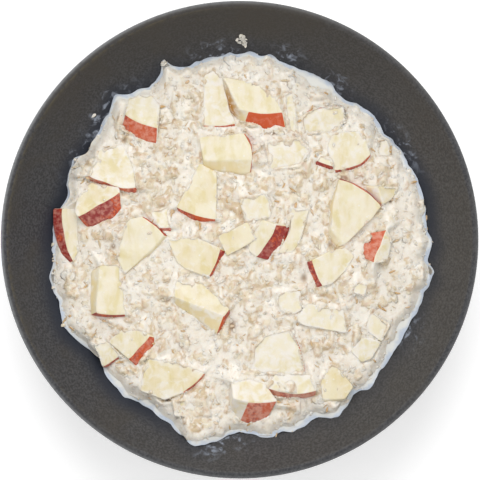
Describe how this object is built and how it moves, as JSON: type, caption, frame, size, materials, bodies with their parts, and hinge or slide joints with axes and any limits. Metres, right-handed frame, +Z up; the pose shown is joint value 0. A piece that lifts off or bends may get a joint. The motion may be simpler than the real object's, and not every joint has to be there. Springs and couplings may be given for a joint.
{
  "type": "bowl of porridge",
  "caption": "Milky oat porridge with cut red-skinned apple in a wide dark stoneware bowl on a foot ring.",
  "frame": {"origin": "middle of the foot ring's underside, on the surface the bowl stands on", "axes": "+Z up out of the bowl, +Y away from the eater, +X to the eater's right"},
  "size_m": [0.2, 0.2, 0.0555],
  "materials": {
    "stoneware": "matt dark grey glaze, worn to olive brown at the lip",
    "soaked_oats": "rolled oats soaked in milk, moist",
    "milk": "milk, slightly blue where it is thin",
    "apple": "cut apple, cream flesh with red skin"
  },
  "bodies": {
    "root": {"bowl": "stoneware", "oats": "soaked_oats", "milk": "milk", "apple_01": "apple", "apple_02": "apple", "apple_03": "apple", "apple_04": "apple", "apple_05": "apple", "apple_06": "apple", "apple_07": "apple", "apple_08": "apple", "apple_09": "apple", "apple_10": "apple", "apple_11": "apple", "apple_12": "apple", "apple_13": "apple", "apple_14": "apple", "apple_15": "apple", "apple_16": "apple", "apple_17": "apple", "apple_18": "apple", "apple_19": "apple", "apple_20": "apple", "apple_21": "apple", "apple_22": "apple", "apple_23": "apple", "apple_24": "apple", "apple_25": "apple", "apple_26": "apple", "apple_27": "apple", "apple_28": "apple", "apple_29": "apple", "apple_30": "apple", "apple_31": "apple", "apple_32": "apple", "apple_33": "apple", "apple_34": "apple", "apple_35": "apple", "apple_36": "apple", "apple_37": "apple", "apple_38": "apple", "apple_39": "apple", "apple_40": "apple"}
  },
  "joints": []
}
